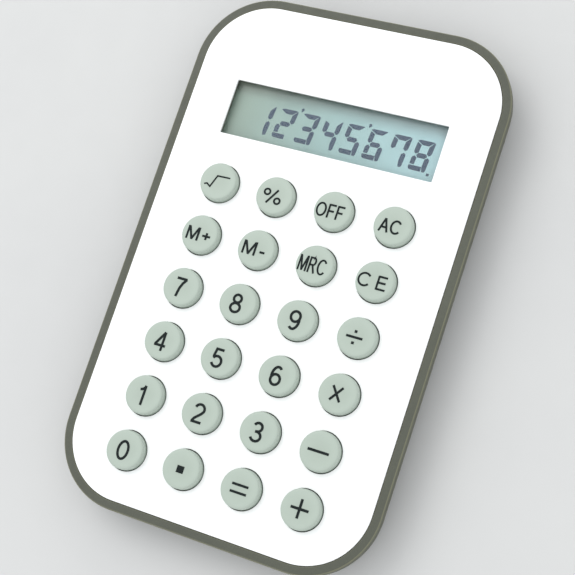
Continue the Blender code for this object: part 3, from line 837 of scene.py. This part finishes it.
CAP, BASE = 0.945, 0.055  # centre lines of level strokes, so that they end flush with the glyph
TWO = arc((0.31, 0.70), (0.235, 0.245), 165, -18, 18) + [(0.44, 0.49), (0.16, 0.22), (0.075, BASE)]
BOWL = arc((0.36, 0.725), (0.2, 0.22), 90, -90, 12)
GLYPHS = {
    "0": (0.62, [oval((0.31, 0.5), (0.255, 0.445))]),
    "1": (0.62, [
        line((0.13, 0.76), (0.25, 0.80), (0.35, 0.90), (0.37, 1.0)),
        line((0.37, 1.0), (0.37, 0.0)),
    ]),
    "2": (0.62, [line(*TWO), line((0.03, BASE), (0.56, BASE))]),
    "3": (0.62, [
        curve((0.29, 0.735), (0.205, 0.21), 160, -90, 18),
        curve((0.29, 0.28), (0.245, 0.235), 90, -160, 20),
        line((0.2, 0.515), (0.3, 0.515)),
    ]),
    "4": (0.62, [
        line((0.43, 0.0), (0.43, 0.97)),
        line((0.43, 0.97), (0.055, 0.285)),
        line((0.01, 0.275), (0.6, 0.275)),
    ]),
    "5": (0.62, [
        line((0.53, CAP - 0.01), (0.155, CAP - 0.01), (0.09, 0.53)),
        curve((0.3, 0.325), (0.245, 0.265), 148, -158, 24),
    ]),
    "6": (0.62, [
        oval((0.315, 0.315), (0.235, 0.26)),
        curve((0.33, 0.51), (0.25, 0.435), 190, 52, 22),
    ]),
    "7": (0.62, [
        line((0.04, CAP), (0.575, CAP)),
        line((0.56, CAP), (0.40, 0.72), (0.30, 0.45), (0.235, 0.0)),
    ]),
    "8": (0.62, [oval((0.31, 0.745), (0.195, 0.2)), oval((0.31, 0.285), (0.24, 0.23))]),
    "9": (0.62, [
        oval((0.305, 0.685), (0.235, 0.26)),
        curve((0.29, 0.49), (0.25, 0.435), 10, -128, 22),
    ]),
    "A": (0.66, [
        line((0.02, 0.0), (0.33, 0.98)),
        line((0.33, 0.98), (0.64, 0.0)),
        line((0.13, 0.34), (0.53, 0.34)),
    ]),
    "C": (0.80, [curve((0.42, 0.5), (0.36, 0.445), 40, 320, 30)]),
    "E": (0.58, [
        line((0.05, 0.0), (0.05, 1.0)),
        line((0.05, CAP), (0.56, CAP)),
        line((0.05, 0.52), (0.52, 0.52)),
        line((0.05, BASE), (0.58, BASE)),
    ]),
    "F": (0.54, [
        line((0.05, 0.0), (0.05, 1.0)),
        line((0.05, CAP), (0.54, CAP)),
        line((0.05, 0.5), (0.46, 0.5)),
    ]),
    "M": (0.80, [
        line((0.06, 0.0), (0.06, 1.0)),
        line((0.74, 0.0), (0.74, 1.0)),
        line((0.10, 0.96), (0.41, 0.03)),
        line((0.39, 0.03), (0.70, 0.96)),
    ]),
    "O": (0.76, [oval((0.38, 0.5), (0.325, 0.445))]),
    "R": (0.66, [
        line((0.055, 0.0), (0.055, CAP), (0.36, CAP), *BOWL, (0.055, 0.505)),
        line((0.34, 0.5), (0.62, 0.0)),
    ]),
    "%": (1.0, [
        oval((0.2, 0.745), (0.14, 0.19)),
        oval((0.8, 0.255), (0.14, 0.19)),
        line((0.28, 0.0), (0.72, 1.0)),
    ]),
    "+": (0.52, [line((0.0, 0.47), (0.52, 0.47)), line((0.26, 0.21), (0.26, 0.73))]),
    "-": (0.3, [line((0.0, 0.36), (0.3, 0.36))]),
}


def add_stroke(bm, points, closed, width, heights):
    """A flat ribbon of constant width along a path, as a closed slab with mitred corners."""
    path = [Vector(point) for point in points]
    last = len(path) - 1
    sides = []
    for i, point in enumerate(path):
        ways = []
        if closed or i > 0:
            ways.append((point - path[i - 1]).normalized())
        if closed or i < last:
            ways.append((path[(i + 1) % len(path)] - point).normalized())
        along = sum(ways, Vector((0.0, 0.0))).normalized()
        across = Vector((-along.y, along.x))
        reach = width / 2 / max(0.3, across.dot(Vector((-ways[0].y, ways[0].x))))
        sides.append((point + across * reach, point - across * reach))
    rings = []
    for left, right in sides:
        rings.append([bm.verts.new((p.x, p.y, z)) for p, z in (
            (left, heights[0]), (right, heights[0]), (right, heights[1]), (left, heights[1]),
        )])
    for one, two in zip(rings, rings[1:]):
        add_band(bm, one, two)
    if closed:
        add_band(bm, rings[-1], rings[0])
    else:
        bm.faces.new(rings[0])
        bm.faces.new(rings[-1])


INK = 0.012  # thickness of the print over the highest part of the key
STEP = 0.004  # each stroke of a glyph lies this much higher than the last
BED = 0.05  # the print starts under the dished top, so that no edge hangs clear


def add_word(bm, word, centre, height, weight, top, stretch, gap=0.0):
    """A word or a sign from the glyphs, about a centre on the key."""
    total = sum(GLYPHS[letter][0] for letter in word) + gap * (len(word) - 1)
    x = -total / 2
    for letter in word:
        width, strokes = GLYPHS[letter]
        for order, (points, closed) in enumerate(strokes):
            placed = [
                (centre[0] + (x + px) * height * stretch, centre[1] + (py - 0.5) * height)
                for px, py in points
            ]
            add_stroke(bm, placed, closed, weight, (top - BED, top + INK + STEP * order))
        x += width + gap


# Legends: word, centre from the key's axis, height, stroke, stretch and letter gap
WORDS = {
    "percent": ("%", (-0.39, -0.26), 2.88, 0.38, 1.40, 0.1),
    "off": ("OFF", (-0.48, -0.26), 2.72, 0.37, 0.96, 0.13),
    "all_clear": ("AC", (-0.42, -0.22), 2.66, 0.38, 0.97, 0.13),
    "memory_plus": ("M+", (-0.17, -0.17), 2.64, 0.42, 1.22, 0.22),
    "memory_minus": ("M-", (-0.43, -0.08), 2.64, 0.42, 1.30, 0.24),
    "memory_recall": ("MRC", (-0.37, -0.17), 3.05, 0.35, 0.695, 0.15),
    "clear_entry": ("CE", (-0.50, -0.17), 2.64, 0.38, 1.22, 0.37),
}
DIGIT_CENTRE = (-0.24, -0.18)
DIGIT_HEIGHT = 3.76
DIGIT_STROKE = 0.49
DIGIT_STRETCH = 1.04

# Signs: straight bars about the key's axis, and the width of their stroke
ROOT_PATH = [(-2.62, -1.08), (-2.08, -0.86), (-1.3, -1.36), (-0.44, 1.0), (2.25, 1.08)]
ROOT_STROKE = 0.3
SIGNS = {
    "point": ([((-0.82, -0.18), (0.6, -0.18))], 1.35),
    "equals": ([((-1.68, -0.81), (1.58, -0.81)), ((-1.68, 0.59), (1.58, 0.59))], 0.45),
    "plus": ([((-1.84, 0.0), (1.64, 0.0)), ((-0.1, -1.74), (-0.1, 1.8))], 0.49),
    "minus": ([((-2.2, -0.13), (1.92, -0.13))], 0.48),
    "multiply": ([((-1.26, -1.46), (0.7, 1.24)), ((-1.26, 1.24), (0.7, -1.46))], 0.44),
    "divide": ([((-1.98, -0.16), (1.2, -0.16))], 0.44),
}
CROSSING = ("plus", "multiply")  # the second bar of these lies a little higher than the first
DIVIDE_DOTS = ((-0.65, -0.13), (-1.23, 0.91), 0.5)  # ends in x, places in y, width


def make_legend(name, top):
    """The print on one key, drawn about the key's own axis."""
    bm = bmesh.new()
    if name in WORDS:
        word, centre, height, weight, stretch, gap = WORDS[name]
        add_word(bm, word, centre, height, weight, top, stretch, gap)
    elif name.isdigit():
        add_word(bm, name, DIGIT_CENTRE, DIGIT_HEIGHT, DIGIT_STROKE, top, DIGIT_STRETCH)
    elif name == "square_root":
        add_stroke(bm, ROOT_PATH, False, ROOT_STROKE, (top - BED, top + INK))
    else:
        bars, weight = SIGNS[name]
        for order, bar in enumerate(bars):
            raised = STEP * order if name in CROSSING else 0.0
            add_stroke(bm, bar, False, weight, (top - BED, top + INK + raised))
    if name == "divide":
        ends, rows, weight = DIVIDE_DOTS
        for y in rows:
            add_stroke(bm, [(x, y) for x in ends], False, weight, (top - BED, top + INK))
    return to_mesh(f"legend_{name}", bm)


def make_keys():
    """The keys share one mesh, and each has its own print."""
    cap = make_key_mesh()
    for key in KEYS:
        at = middle(key)
        place(f"{key}_cap", cap, MATERIALS["key"], key, [key], (at.x, at.y, 0.0))
        name = key[len("key_"):]
        legend = make_legend(name, high(key).z - PRINT_ROOM)
        place(f"legend_{name}", legend, MATERIALS["ink"], key, location=(at.x, at.y, 0.0))


# ---- display


SEGMENTS = {  # the lit bars of each digit on the display, from left to right
    "1": "bc", "2": "abged", "3": "abgcd", "4": "fgbc",
    "5": "afgcd", "6": "afgecd", "7": "fabc", "8": "abcdefg",
}
DIGIT_ROOM = (3.5, 6.1)
DIGIT_PITCH = 4.705
DIGIT_LEFT = -16.74
DIGIT_BOTTOM = 25.2
SLANT = math.tan(math.radians(5.0))
BAR = 0.95  # width of a segment
JOINT = 0.14  # each segment stands back this far from a mitred joint
SPACE = 0.2  # gap at a square joint
COMMA_AFTER = "25"
COMMA_TOP = 31.82
POINT_AFTER = "8"
POINT_SIZE = (0.55, 0.52)
POINT_PLACE = (20.12, 24.94)
FILM_LONGER = 0.6  # the film and the ground run on past their CAD ends, out of low views
GROUND_LONGER = 0.5
SHEET_CORNER = 0.5
SHEET_EDGE = 0.04
GROUND_DEPTH = 0.04  # the ground lies this far under the top of the front glass
SEGMENT_DEPTH = 0.012
SEGMENT_THICKNESS = 0.02


def segment_outline(letter):
    """One bar of a figure eight, as an outline in millimetres from the digit's corner."""
    width, height = DIGIT_ROOM
    mid, half = height / 2, BAR / 2
    if letter == "a":
        blade = [(0.45, 0.02), (0.0, 0.18), (0.02, 0.34), (1.0, BAR - 0.08), (1.2, BAR)]
        mitre = [(BAR, BAR), (0.08, 0.08), (0.3, 0.0)]
        outline = blade + [(width - JOINT - x, y) for x, y in mitre]
        return [(x, height - y) for x, y in outline]
    if letter == "d":
        blade = [(0.45, 0.04), (0.14, 0.26), (0.02, 0.5), (0.0, BAR - 0.1), (0.08, BAR)]
        return blade + [(width - BAR, BAR), (width - 0.66 - SPACE, 0.0)]
    if letter == "g":
        shoulder = width - BAR - 0.06
        right = [(shoulder, mid + half), (width - half - 0.2, mid), (shoulder, mid - half)]
        return right + [(width - x, y) for x, y in reversed(right)]
    middle_end = [(BAR, 0.54), (half, 0.18), (0.12, 0.42), (0.0, 0.75)]
    outer_ends = {  # each seen from its own end of the digit
        "b": [(0.0, 0.4), (0.06, 0.12), (0.16, 0.08), (BAR, BAR + JOINT)],
        "f": [(0.0, 0.68), (0.05, 0.54), (BAR, 0.97)],
        "c": [(0.0, 0.35), (0.1, 0.06), (0.25, 0.0), (0.66, 0.0), (BAR, 1.1)],
        "e": [(0.08, BAR + SPACE), (BAR, BAR + SPACE)],
    }
    outline = outer_ends[letter] + [(x, mid - y) for x, y in middle_end]
    if letter in "bf":
        outline = [(x, height - y) for x, y in outline]
    if letter in "bc":
        outline = [(width - x, y) for x, y in outline]
    return outline


def add_mark(bm, outline, heights):
    """A thin flat mark with an outline of its own."""
    add_solid(bm, lambda offset: outline, [(0.0, z) for z in heights])


def make_digits(heights):
    """The lit segments of the eight digits, with their marks, one piece for each digit."""
    for order, digit in enumerate(SEGMENTS):
        left = DIGIT_LEFT + DIGIT_PITCH * order
        bm = bmesh.new()
        for letter in SEGMENTS[digit]:
            outline = [
                (left + x + (y - DIGIT_ROOM[1] / 2) * SLANT, DIGIT_BOTTOM + y)
                for x, y in segment_outline(letter)
            ]
            add_mark(bm, outline, heights)
        if digit in COMMA_AFTER:
            right = left + DIGIT_ROOM[0]
            drop = arc((right + 0.94, COMMA_TOP), (0.31, 0.31), -40.0, 205.0, 12)
            add_mark(bm, drop + [(right + 0.8, COMMA_TOP - 0.6)], heights)
        if digit in POINT_AFTER:
            add_mark(bm, rounded_rectangle(POINT_SIZE, 0.12, POINT_PLACE), heights)
        name = f"lcd_digit_{digit}"
        place(name, to_mesh(name, bm), MATERIALS["segment"])


def sheet_outline(node, longer):
    """Outline of a display layer by its inset, drawn on past its top end if need be."""
    size = high(node) - low(node)
    centre = (middle(node).x, middle(node).y + longer / 2)

    def outline(inset):
        sides = (size.x - 2 * inset, size.y + longer - 2 * inset)
        return rounded_rectangle(sides, SHEET_CORNER - inset, centre, 6)

    return outline


def make_display():
    """Lens, front film and, just under the lit segments, the ground that the eye sees."""
    for node, finish, slot, depth, longer in (
        ("display_lens", "lens", "lens", 0.0, 0.0),
        ("lcd_front_polariser", "film", "film", 0.0, FILM_LONGER),
        ("lcd_front_glass", "ground", "glass", GROUND_DEPTH, GROUND_LONGER),
    ):
        bm = bmesh.new()
        add_slab(bm, sheet_outline(node, longer), (low(node).z, high(node).z - depth), SHEET_EDGE)
        name = f"{node}_sheet"
        place(name, to_mesh(name, bm), MATERIALS[finish], nodes=[node])
    segment_top = high("lcd_front_glass").z - SEGMENT_DEPTH
    make_digits((segment_top - SEGMENT_THICKNESS, segment_top))


# ---- screws, feet and cell


def cross_slot(turn, bottom):
    """A cutter for one arm of the cross recess, turned about the screw's axis."""
    def outline(offset):
        size = (CROSS_SIZE[0] - 2 * offset, CROSS_SIZE[1] - offset)
        return [
            (x * math.cos(turn) - y * math.sin(turn), x * math.sin(turn) + y * math.cos(turn))
            for x, y in rounded_rectangle(size, 0.06)
        ]

    bm = bmesh.new()
    add_solid(bm, outline, [(0.0, bottom - CUT_ROOM), (0.0, bottom), (0.2, bottom + CROSS_DEPTH)])
    return to_mesh("cross_recess", bm)


def make_screw_mesh():
    """A pan-head screw with a thread-forming point, head down."""
    bottom, tip = low(SCREWS[0]).z, high(SCREWS[0]).z
    head = ((0.4, 0.0), (0.15, 0.08), (0.0, 0.3))
    profile = [(SCREW_HEAD_RADIUS - inset, bottom + z) for inset, z in head]
    profile += [(SCREW_HEAD_RADIUS, SCREW_HEAD_TOP), (SCREW_ROOT_RADIUS, SCREW_HEAD_TOP)]
    z = SCREW_HEAD_TOP
    while z < tip - SCREW_POINT:
        for radius, rise in ((SCREW_ROOT_RADIUS, 0.12), (SCREW_RADIUS, 0.28), (SCREW_ROOT_RADIUS, 0.44)):
            profile.append((radius, z + rise))
        z += THREAD_PITCH
    profile.append((0.3, tip))
    bm = bmesh.new()
    add_turned(bm, profile, 48)
    mesh = to_mesh("screw", bm)
    for turn in (0.0, math.pi / 2):
        mesh = cut(mesh, "DIFFERENCE", cross_slot(turn, bottom))
    mesh.materials.clear()
    mesh.materials.append(MATERIALS["screw"])
    return mesh


def make_screws():
    """The four screws share one mesh, each left at a different turn by the driver."""
    mesh = make_screw_mesh()
    for order, screw in enumerate(SCREWS):
        at = middle(screw)
        spot = (at.x, at.y, 0.0)
        piece = place(f"{screw}_steel", mesh, MATERIALS["screw"], "case", [screw], spot)
        piece.matrix_world = piece.matrix_world @ Matrix.Rotation(0.4 + 1.1 * order, 4, "Z")


def make_feet():
    """Four soft-edged rubber pads that share one mesh."""
    radius = high(FEET[0]).x - middle(FEET[0]).x
    top = high(FEET[0]).z
    profile = [(0.05, 0.0), (1.2, 0.0), (2.2, 0.0)]
    profile += underside_to_wall(radius, FOOT_EDGE, 0.0, 6)
    profile += [(radius, top - FOOT_TOP_EDGE), (radius - FOOT_TOP_EDGE, top)]
    bm = bmesh.new()
    add_turned(bm, profile, 72)
    mesh = to_mesh("foot", bm, smooth=50.0)
    mesh.materials.append(MATERIALS["foot"])
    for foot in FEET:
        at = middle(foot)
        place(f"{foot}_pad", mesh, MATERIALS["foot"], "case", [foot], (at.x, at.y, 0.0))


def make_button_cell():
    """The can with its round shoulder, the step of the seal, and the raised cap."""
    cell_low, cell_high, at = low("button_cell"), high("button_cell"), middle("button_cell")
    radius, shoulder = cell_high.x, cell_high.z - CELL_CAP_HEIGHT
    profile = [(radius - 0.5, cell_low.z)]
    profile += underside_to_wall(radius, CELL_EDGE, cell_low.z, 5)
    profile += wall_to_top(radius, CELL_SHOULDER_EDGE, shoulder, 5)
    profile += [(CELL_CAP_RADIUS + 0.25, shoulder), (CELL_CAP_RADIUS + 0.2, shoulder + 0.1)]
    profile += wall_to_top(CELL_CAP_RADIUS, CELL_CAP_EDGE, cell_high.z, 4)
    bm = bmesh.new()
    add_turned(bm, profile, 96, at.xy)
    mesh = to_mesh("button_cell_can", bm)
    place("button_cell_can", mesh, MATERIALS["steel"], nodes=["button_cell"])


def finish_inner_nodes():
    """The pieces inside keep their CAD shapes and get their own finishes."""
    finishes = {
        "lcd_rear_glass": "glass",
        "lcd_reflector": "ground",
        "lcd_support": "support",
        "lcd_contact_strip": "elastomer",
        "circuit_board": "board",
        "calculator_chip": "epoxy",
        "left_capacitor": "ceramic",
        "right_capacitor": "ceramic",
        "timing_resistor": "ceramic",
        "keypad_mat": "mat",
        "battery_plus_contact": "spring_steel",
        "battery_minus_contact": "spring_steel",
    }
    for name, finish in finishes.items():
        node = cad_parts[name]
        for slot in node.material_slots:
            slot.material = MATERIALS[finish]


# ---- stage


def make_floor():
    """A pale, matt sheet under the rubber feet."""
    bm = bmesh.new()
    corners = ((-1, -1), (1, -1), (1, 1), (-1, 1))
    bm.faces.new([bm.verts.new((FLOOR_REACH * x, FLOOR_REACH * y, 0.0)) for x, y in corners])
    mesh = to_mesh("floor", bm)
    n = Nodes("floor_pale")
    tone = n.ramp(n.noise(60.0), [(0.3, (0.56, 0.56, 0.555)), (0.7, (0.585, 0.585, 0.575))])
    mesh.materials.append(n.finish(tone, n.spread(n.noise(5.0), 0.6, 0.75)))
    floor = bpy.data.objects.new("floor", mesh)
    bpy.context.scene.collection.objects.link(floor)


def make_lights():
    """One broad soft light from over the display's left end, and an even pale surround."""
    data = bpy.data.lights.new("key_light", "AREA")
    data.shape = "SQUARE"
    data.size = LIGHT_SIZE * MM
    data.energy = LIGHT_POWER
    data.color = (1.0, 0.995, 0.98)
    light = bpy.data.objects.new("key_light", data)
    bpy.context.scene.collection.objects.link(light)
    light.location = Vector(LIGHT_PLACE) * MM
    light.rotation_euler = (-Vector(LIGHT_PLACE)).to_track_quat("-Z", "Y").to_euler()
    world = bpy.data.worlds.new("studio")
    world.use_nodes = True
    sky = world.node_tree.nodes["Background"]
    sky.inputs["Color"].default_value = (0.96, 0.98, 1.0, 1.0)
    sky.inputs["Strength"].default_value = SKY_STRENGTH
    bpy.context.scene.world = world
    bpy.context.scene.view_settings.view_transform = "Standard"


def make_camera():
    """Looks along the fitted line, with the case turned in the frame by the roll."""
    data = bpy.data.cameras.new("camera")
    data.lens = CAMERA_LENS
    data.sensor_width = 36.0
    data.clip_start, data.clip_end = 0.01, 10.0
    camera = bpy.data.objects.new("camera", data)
    bpy.context.scene.collection.objects.link(camera)
    place_at, aim_at = Vector(CAMERA_PLACE), Vector(CAMERA_AIM)
    forward = (aim_at - place_at).normalized()
    right = forward.cross(Vector((0.0, 0.0, 1.0))).normalized()
    up = right.cross(forward)
    roll = math.radians(CAMERA_ROLL)
    camera_up = up * math.cos(roll) + right * math.sin(roll)
    camera_right = forward.cross(camera_up)
    axes = Matrix((camera_right, camera_up, -forward)).transposed()
    camera.matrix_world = Matrix.Translation(place_at * MM) @ axes.to_4x4()
    bpy.context.scene.camera = camera


make_camera()
make_floor()
make_lights()
make_rear_cover()
make_battery_door()
make_front_housing()
make_face_plate()
make_display()
make_keys()
make_screws()
make_feet()
make_button_cell()
finish_inner_nodes()
